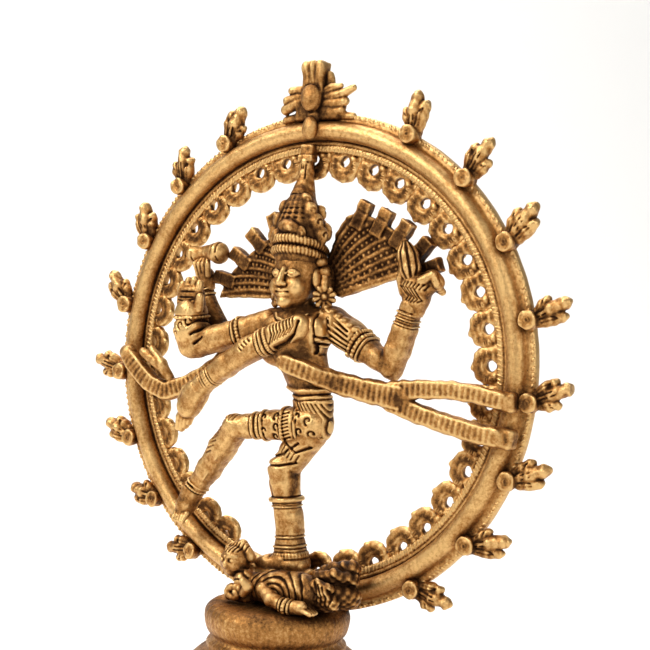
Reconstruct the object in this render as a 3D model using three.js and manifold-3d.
// Brass nataraja: a dancing figure in a ring of flames, standing on a dwarf on a turned pedestal.
// Millimetres, +Z up, front along -Y. The origin is the centre of the pedestal's underside.
// A limb is a chain of round cones, a flat member an extruded outline, and a turned member a lathe profile.
import * as THREE from 'three';
import { mergeVertices } from 'three/addons/utils/BufferGeometryUtils.js';
import Module from 'manifold-3d';

const wasm = await Module();
wasm.setup();

// ---------- driving dimensions ----------
const GAP = 0.3; // clearance left between neighbouring members
const RING_Z = 85; // height of the ring's centre
const RING_Y = 9; // plane of the scalloped face
const PLATE_FRONT = 7.8;
const PLATE_BACK = 10.4;
const FLANGE_R = 58.2;
const ROLL_R = 54;
const ROLL_THICK = 2.15; // radius of the front roll
const ROLL_Y = 7.4;
const STEP_R = 51.6; // where the knurled band drops to the cut beside the roll
const STEP_DROP = 0.9;
const BAND_R = 49.15; // inner radius of the knurled band
const FRINGE_R = BAND_R - GAP;
const FRINGE_Y = [8.4, PLATE_BACK];
const LOBES = 35;
const LOBE_FIRST = -152.8; // degrees from the top; the dwarf hides the gap below
const LOBE_STEP = 9.58;
const FRINGE_SHIFT = [-0.9, -0.9]; // the loops sit a little off the hoop's centre
const LOBE_R = 3.9;
const LOBE_CENTRE_R = 47.2;
const HOLE_R = 1.2;
const BOSS_R = 2.1;
const BOSS_CENTRE_R = 58;
const FLAME_Y = [6, 10];
const FLAME_FIRST = 26.5; // degrees from the top to the first flame of each side
const FLAME_STEP = 17.2;
// lean from the vertical in degrees and length, from the top flame down
const FLAMES_RIGHT = [
  [11, 9.6], [30, 9.8], [40, 10], [66, 9.6], [63, 9.8], [73, 9.6], [81, 9.8], [99, 9.2],
];
const FLAMES_LEFT = [
  [-23, 9.6], [-6, 9.8], [13, 10], [38, 10.2], [67, 9.9], [71, 9.5], [78, 8.5], [86, 8.4],
];
const DECK_Z = 29.5;
const BASE_R = 28;
const TENON_R = 2.5;
const RING_TENON_R = 0.8;
const TENON_HEAD = [23.4, 25.2]; // bottom and top of a tenon's peened head
const SIDES = 8; // facets round a limb
const FINEST = 0.1; // slivers thinner than this are merged away

const DEG = Math.PI / 180;

// ---------- from three.js geometry to solids and back ----------
function solidOf(geometry) {
  const bare = geometry.clone();
  bare.deleteAttribute('normal');
  bare.deleteAttribute('uv');
  const merged = mergeVertices(bare, 1e-4);
  const triangles = [];
  const index = merged.index.array;
  for (let i = 0; i < index.length; i += 3) {
    const [a, b, c] = [index[i], index[i + 1], index[i + 2]];
    if (a !== b && b !== c && c !== a) triangles.push(a, b, c);
  }
  const mesh = () => new wasm.Mesh({
    numProp: 3,
    vertProperties: new Float32Array(merged.attributes.position.array),
    triVerts: new Uint32Array(triangles),
  });
  let solid = new wasm.Manifold(mesh());
  if (solid.volume() < 0) {
    for (let i = 0; i < triangles.length; i += 3) {
      [triangles[i], triangles[i + 1]] = [triangles[i + 1], triangles[i]];
    }
    solid = new wasm.Manifold(mesh());
  }
  return solid;
}

function geometryOf(solid) {
  const mesh = solid.getMesh();
  const geometry = new THREE.BufferGeometry();
  geometry.setAttribute('position', new THREE.BufferAttribute(new Float32Array(mesh.vertProperties), 3));
  geometry.setIndex(Array.from(mesh.triVerts));
  geometry.computeVertexNormals();
  return geometry;
}

const join = (solids) => solids.reduce((whole, next) => whole.add(next));
const largest = (solid) => solid.decompose().reduce((a, b) => (a.volume() > b.volume() ? a : b));

// ---------- building blocks ----------
// a cone with rounded ends between two stations [x, y, z, radius]
function roundCone(a, b, grow) {
  const start = new THREE.Vector3(...a);
  const axis = new THREE.Vector3(...b).sub(start);
  const length = axis.length();
  const [ra, rb] = [a[3] + grow, b[3] + grow];
  const steps = 2; // rows in each rounded end
  const profile = [];
  for (let i = 0; i <= steps; i += 1) {
    const angle = (90 * i) / steps * DEG;
    profile.push(new THREE.Vector2(ra * Math.sin(angle), -ra * Math.cos(angle)));
  }
  for (let i = 0; i <= steps; i += 1) {
    const angle = (90 * i) / steps * DEG;
    profile.push(new THREE.Vector2(rb * Math.cos(angle), length + rb * Math.sin(angle)));
  }
  profile[0].x = 0;
  profile[profile.length - 1].x = 0;
  const geometry = new THREE.LatheGeometry(profile, SIDES);
  const upright = new THREE.Vector3(0, 1, 0);
  geometry.applyQuaternion(new THREE.Quaternion().setFromUnitVectors(upright, axis.normalize()));
  geometry.translate(start.x, start.y, start.z);
  return solidOf(geometry);
}

// a chain of round cones, thicker or thinner front to back by the factor depth
function limb(stations, depth = 1) {
  return (grow) => {
    const flat = stations.map(([x, y, z, r]) => [x, y / depth, z, r]);
    const cones = flat.slice(1).map((station, i) => roundCone(flat[i], station, grow));
    return join(cones).scale([1, depth, 1]);
  };
}

function ellipsoid(x, y, z, rx, ry, rz, segments = 12) {
  return (grow) => {
    const geometry = new THREE.SphereGeometry(1, segments, Math.round(segments * 0.7));
    geometry.rotateX(Math.PI / 2);
    geometry.scale(rx + grow, ry + grow, rz + grow);
    geometry.translate(x, y, z);
    return solidOf(geometry);
  };
}

// an outline of [x, z] points extruded from y0 back to y1
function plate(outline, [y0, y1]) {
  const shape = new THREE.Shape(outline.map(([x, z]) => new THREE.Vector2(x, z)));
  const geometry = new THREE.ExtrudeGeometry(shape, { depth: y1 - y0, bevelEnabled: false });
  geometry.rotateX(Math.PI / 2);
  geometry.translate(0, y1, 0);
  return solidOf(geometry);
}

// a profile of [radius, height] turned about the vertical through (x, y)
function turned(profile, segments, x = 0, y = 0) {
  const geometry = new THREE.LatheGeometry(profile.map(([r, h]) => new THREE.Vector2(r, h)), segments);
  geometry.rotateX(Math.PI / 2);
  geometry.translate(x, y, 0);
  return solidOf(geometry);
}

const joined = (...makers) => (grow) => join(makers.map((make) => make(grow)));
const polar = (radius, degrees) => [radius * Math.sin(degrees * DEG), radius * Math.cos(degrees * DEG)];

// ---------- the ring of flames ----------
function ringFrame(grow) {
  const roll = [];
  for (let angle = -150; angle <= 0; angle += 30) {
    const [across, front] = [Math.cos(angle * DEG), Math.sin(angle * DEG)];
    roll.push([ROLL_R + (ROLL_THICK + grow) * across, ROLL_Y + (ROLL_THICK + grow) * front]);
  }
  const inner = BAND_R - grow;
  const outer = FLANGE_R + grow;
  const band = PLATE_FRONT + 0.2 - grow; // the band lies a little behind the flange
  const profile = [
    [inner, band], [STEP_R, band], [STEP_R + 0.3, band + STEP_DROP], ...roll,
    [outer, PLATE_FRONT - grow], [outer, PLATE_BACK + grow], [inner, PLATE_BACK + grow],
  ];
  const points = [...profile, profile[0]].map(([r, y]) => new THREE.Vector2(r, y));
  const geometry = new THREE.LatheGeometry(points, 48);
  geometry.translate(0, 0, RING_Z);
  const cover = solidOf(geometry);
  return grow ? cover : cover.subtract(ringTenon(GAP));
}

// a round bar along Y through [x, z]
function bar(radius, [x, z], [y0, y1], sides) {
  const geometry = new THREE.CylinderGeometry(radius, radius, y1 - y0, sides);
  geometry.translate(x, (y0 + y1) / 2, z);
  return solidOf(geometry);
}

function hoop(inner, outer, [y0, y1]) {
  const profile = [[inner, y0], [outer, y0], [outer, y1], [inner, y1], [inner, y0]];
  return solidOf(new THREE.LatheGeometry(profile.map(([r, y]) => new THREE.Vector2(r, y)), LOBES));
}

// copies of a solid at the middle of every scallop
function roundRing(solid) {
  const [across, up] = FRINGE_SHIFT;
  const copies = [];
  for (let lobe = 0; lobe < LOBES; lobe += 1) {
    copies.push(solid.rotate([0, LOBE_FIRST + LOBE_STEP * lobe, 0]).translate([across, 0, up]));
  }
  return join(copies);
}

function ringFringe() {
  const loop = bar(LOBE_R, [0, LOBE_CENTRE_R], FRINGE_Y, 8);
  const hole = bar(HOLE_R, [0, LOBE_CENTRE_R], [FRINGE_Y[0] - 1, FRINGE_Y[1] + 1], 6);
  const disc = hoop(LOBE_CENTRE_R - 3 * LOBE_R, FRINGE_R, FRINGE_Y);
  const strip = hoop(LOBE_CENTRE_R, FRINGE_R, FRINGE_Y);
  return roundRing(loop).intersect(disc).add(strip).subtract(roundRing(hole)).translate([0, 0, RING_Z]);
}

// a boss with a palmette of three fingers, pointing straight up before it leans
function flame(centre, lean, length) {
  const fingers = [
    [-1.5, 0], [-2.8, 0.6], [-2.4, 0.84], [-1.1, 0.66], [-0.6, 0.94], [0.4, 1], [1, 0.66], [2.2, 0.88],
    [2.7, 0.6], [1.5, 0],
  ];
  const [sin, cos] = [Math.sin(lean * DEG), Math.cos(lean * DEG)];
  const outline = fingers.map(([u, share]) => {
    const v = share * length;
    return [centre[0] + u * cos + v * sin, centre[1] - u * sin + v * cos];
  });
  return plate(outline, [FLAME_Y[0] + 1, FLAME_Y[1] - 0.5]).add(bar(BOSS_R, centre, FLAME_Y, SIDES));
}

function finial() {
  const block = [
    [-2.5, 147], [-3.2, 152], [-3, 154.6], [-1.8, 155.3], [1.6, 155.3], [2.6, 154.6], [2.6, 147],
  ];
  const leaves = [
    [-7, 143.6], [-6, 145], [-9.6, 146.6], [-9.8, 148.4], [-8, 149.6], [-5.6, 150.6], [-2.5, 149.5],
    [2.5, 148.6], [5, 149.6], [7.4, 149.8], [11.4, 149], [11.2, 147.6], [9.4, 146.6], [9, 144.8],
    [7.6, 143.4],
  ];
  return join([
    plate(leaves, [7.5, 10]), plate(block, [6, 10]),
    ellipsoid(0, 6.2, 146.6, 2.4, 1.8, 3.3)(0), ellipsoid(0, 5.4, 139.6, 1.9, 1.6, 2.5)(0),
  ]);
}

// ---------- pedestal and tenons ----------
function pedestal() {
  const outside = [
    [0, DECK_Z], [14.5, DECK_Z], [16.1, 28.8], [16.9, 27.2], [16.4, 24.2], [14.9, 21.8], [14.9, 21.1],
    [16.3, 20.5], [15.8, 19.4], [17.5, 18.6], [22.5, 13.5], [25.6, 8.6], [25.2, 7.8], [BASE_R, 6.6],
    [BASE_R, 0],
  ];
  const inside = [[25, 0], [25, 4.5], [17.5, 13.5], [12.5, 17.5], [12, 25.5], [0, 25.5]];
  return turned([...outside, ...inside], 28);
}

// a pin through the deck, with its wider peened head inside the hollow
const tenon = (radius, x, y, top) => (grow) => turned([
  [0, TENON_HEAD[0] - grow], [radius * 1.5 + grow, TENON_HEAD[0] - grow],
  [radius * 1.5 + grow, TENON_HEAD[1] + grow], [radius + grow, TENON_HEAD[1] + grow],
  [radius + grow, top + grow], [0, top + grow],
], SIDES + 2, x, y);
const figureTenon = tenon(TENON_R, 5, -5.5, 32);
const ringTenon = tenon(RING_TENON_R, 0, (PLATE_FRONT + PLATE_BACK) / 2, 28.6);

// ---------- the figure ----------
const head = ellipsoid(-0.1, 2.2, 105.2, 5.2, 5.6, 7, 16);
const neck = limb([[0.8, 3, 97, 3.2], [0.8, 3, 102, 3]]);
const crown = joined(
  limb([[-0.2, 3, 111.9, 6.4], [-0.3, 3, 112.9, 6.2]]), limb([[-0.4, 3.4, 114.3, 5.9], [-0.7, 4, 121, 2.6]]),
);
const crestStrut = limb([[-0.3, 5.4, 121, 1.9], [-1.2, 6.3, 127.5, 1.4], [-1.5, 6.3, 133, 1.7]]);
const rosette = (x, y) => ellipsoid(x, y, 100.6, 1.6, 2.6, 2.8);
const torso = joined(
  ellipsoid(0.6, 3.4, 91.5, 9.4, 4.6, 6.4, 16),
  limb([[1, 3.2, 88, 6.9], [4.4, 3.1, 79.5, 4.6], [5.2, 3.2, 73.5, 4.8]], 0.85),
);
const armRearLeft = limb([
  [8.5, 6, 94, 3.4], [15.6, 6.2, 90, 3.3], [23.6, 6.2, 85.4, 2.2], [26.6, 6, 96.6, 2.2],
], 1.15);
const handRearLeft = limb([[26.8, 5.6, 99, 2.3], [27.8, 5.2, 103, 2.6], [33.6, 5.6, 105.6, 1.8]]);
const flameBowl = limb([[27.8, 2.6, 106.2, 2.3], [26.6, 2.6, 111.6, 2]]);
const armRearRight = limb([[-8.5, 6.6, 94, 3], [-24.5, 7.4, 91.6, 2.4], [-30, 7, 102.6, 1.9]]);
const handRearRight = limb([[-30.2, 6.6, 104.4, 2], [-30.4, 6, 107, 1.9]]);
const drum = joined(
  limb([[-34, 5.4, 110.6, 2.2], [-29.8, 5.4, 110.6, 1.3]]),
  limb([[-29.8, 5.4, 110.6, 1.3], [-25.6, 5.4, 110.7, 2.3]]),
);
const armFrontRight = limb([[-9, 2.6, 93, 3.2], [-28.4, 0.6, 88.4, 3.2], [-28.8, -0.5, 95, 3.3]]);
const handFrontRight = limb([
  [-28.8, -0.8, 96.4, 3.2], [-28.8, -1, 99.4, 3.3], [-28.4, -1.2, 102, 2.8],
], 0.65);
const armFrontLeft = limb([[3, -0.6, 92.6, 3], [-9.5, -2, 87.6, 3], [-23, -2, 78.9, 2.5]]);
const handFrontLeft = limb([
  [-23.6, -2, 77.6, 2.4], [-27.2, -1.8, 73.2, 2.9], [-29.4, -1.5, 67.6, 1.8],
], 0.85);
const legRaised = limb([
  [4.6, 2.2, 71.2, 4.2], [-4, 0.6, 70.3, 3.4], [-13.8, -1, 69.2, 2.9], [-26.6, 2, 54, 2.5],
]);
const footRaised = limb([[-28.2, 1.6, 51.4, 2.4], [-30, 1.2, 47.6, 2]]);
const legStanding = joined(
  limb([
    [5.8, 3.2, 71.6, 4.4], [2.4, 2, 65, 3.8], [-0.6, 1, 60.1, 3.6], [-0.3, 2.4, 52.6, 3.2],
    [0.4, 3, 43.4, 3.2],
  ]),
  limb([[0.6, 3, 42, 3.6], [0.8, 3, 40.4, 4]]),
);
const footStanding = limb([[-8, -0.4, 37.2, 1.1], [0, 1.6, 37.6, 2], [6.5, 3, 37.8, 1.9]], 1.2);
const sashRight = joined(
  limb([[1, -2.6, 84.2, 2.4], [7.5, -1.6, 82.4, 2.7], [13.5, 1.6, 80.9, 2.9], [28, 3.6, 78.8, 3]], 0.5),
  limb([[28, 3.6, 79.8, 2.4], [41, 3.4, 81.2, 2], [53, 3.2, 79.8, 2]], 0.5),
  limb([[28, 3.6, 77.4, 2.4], [39, 3.4, 74.2, 2], [51, 3.2, 72.2, 2.2]], 0.5),
);
const sashLeft = limb([
  [-24.6, 5.4, 84, 2.2], [-33, 5, 78, 2.2], [-39.6, 4, 75.2, 2.2], [-45, 3.6, 78, 2.4], [-51, 3.2, 82.6, 2.6],
], 0.6);

// a fan of rounded bars behind the head; each bar is [degrees from the vertical, reach]
function hairFan(bars, root, low) {
  const [rx, rz] = root;
  const side = Math.sign(bars[0][0]);
  const web = bars.map(([angle, reach]) => {
    const [x, z] = polar(reach - 5.5, angle);
    return [rx + x, rz + z];
  });
  const fan = [plate([[rx, rz - 5], [rx, rz + 12], ...web, low], [7, 9])];
  for (const [angle, reach] of bars) {
    const wide = 1.7;
    const ends = [
      [-wide, 6], [-wide, reach - 0.8], [-0.9, reach], [0.9, reach], [wide, reach - 0.8], [wide, 6],
    ];
    const outline = ends.map(([u, v]) => {
      const [x, z] = polar(v, angle);
      const [sx, sz] = polar(u * side, angle + 90);
      return [rx + x + sx, rz + z + sz];
    });
    fan.push(plate(outline, [6.6, 9.2]));
  }
  return join(fan);
}
const BARS_RIGHT = [0, 1, 2, 3, 4].map((i) => [36.2 + 11.8 * i, 22 + 2.6 * i]);
const BARS_LEFT = [0, 1, 2, 3].map((i) => [-37.5 - 18 * i, 18.2 + 1.3 * i + 0.6 * i * i]);

// ---------- the dwarf ----------
const dwarfHead = joined(
  ellipsoid(-8.6, -5.6, 38.4, 3.4, 3.6, 3.8), ellipsoid(-5.2, -6.4, 35, 2.2, 2.4, 2.2),
);
const dwarfBody = limb([[-2, -4.6, 33.6, 3.2], [5, -4.2, 34, 3.8], [12, -3.2, 33.6, 3.6]]);
const dwarfArm = limb([[2.4, -8.4, 33.2, 1.6], [7.4, -9.2, 31.6, 1.6], [14, -8.4, 32, 1.7]]);
const dwarfLegs = joined(
  limb([[15.5, -3.4, 34, 3], [19.5, -0.6, 34.4, 2.6]]), limb([[12.6, 0.4, 38.6, 2.2], [18.4, 2, 40.2, 2.3]]),
);
const dwarfSnake = limb([[-7.4, -8.4, 31.6, 1.7], [-4, -8.6, 31.2, 1.3], [-2.6, -8.8, 33.4, 1.2]]);

// ---------- assembly ----------
const statue = new THREE.Group();
const brass = (shade, roughness) => new THREE.MeshStandardMaterial({ color: shade, roughness, metalness: 1 });
const BRIGHT = '#d9aa62';
const WORN = '#c08a45';
const DARK = '#7a5028';
const placed = [];

// each member is cut back by GAP from every member that is already in place
function place(name, make, shade = WORN, roughness = 0.38) {
  let solid = make(0);
  for (const earlier of placed) {
    const [a, b] = [solid.boundingBox(), earlier.box];
    const meets = [0, 1, 2].every((i) => a.min[i] < b.max[i] + GAP && b.min[i] < a.max[i] + GAP);
    if (meets) solid = solid.subtract(earlier.make(GAP));
  }
  solid = largest(solid).simplify(FINEST);
  placed.push({ make, box: solid.boundingBox() });
  const mesh = new THREE.Mesh(geometryOf(solid), brass(shade, roughness));
  mesh.name = name;
  statue.add(mesh);
}

place('figure_tenon', figureTenon);
place('ring_tenon', ringTenon);
place('ring_frame', ringFrame, BRIGHT, 0.3);
place('pedestal', pedestal, BRIGHT);
place('ring_fringe', ringFringe);
place('head', head, BRIGHT);
place('crown', crown);
place('crest_strut', crestStrut);
place('earring_left', rosette(7.2, 3));
place('earring_right', rosette(-6, 3.6));
place('arm_front_left', armFrontLeft, BRIGHT);
place('hand_front_left', handFrontLeft);
place('torso', joined(torso, neck), BRIGHT);
place('arm_rear_left', armRearLeft, BRIGHT);
place('flame_bowl', flameBowl);
place('hand_rear_left', handRearLeft);
place('arm_front_right', armFrontRight);
place('hand_front_right', handFrontRight);
place('arm_rear_right', armRearRight, DARK);
place('drum', drum);
place('hand_rear_right', handRearRight);
place('sash_right', sashRight);
place('sash_left', sashLeft);
place('leg_raised', legRaised, BRIGHT);
place('foot_raised', footRaised);
place('leg_standing', legStanding, BRIGHT);
place('foot_standing', footStanding);
place('dwarf_head', dwarfHead);
place('dwarf_arm', dwarfArm);
place('dwarf_snake', dwarfSnake);
place('dwarf_body', dwarfBody);
place('dwarf_legs', dwarfLegs, DARK);
place('hair_fan_left', () => hairFan(BARS_LEFT, [-1, 105], [-12, 99.6]), DARK);
place('hair_fan_right', () => hairFan(BARS_RIGHT, [2, 105], [8, 100.4]), DARK);
place('finial', finial, BRIGHT);
[FLAMES_RIGHT, FLAMES_LEFT].forEach((flames, row) => {
  const side = row === 0 ? 1 : -1;
  flames.forEach(([lean, length], i) => {
    const [x, z] = polar(BOSS_CENTRE_R, side * (FLAME_FIRST + FLAME_STEP * i));
    const name = `flame_${String(row * flames.length + i + 1).padStart(2, '0')}`;
    place(name, () => flame([x, RING_Z + z], side * lean, length), BRIGHT);
  });
});

export default statue;
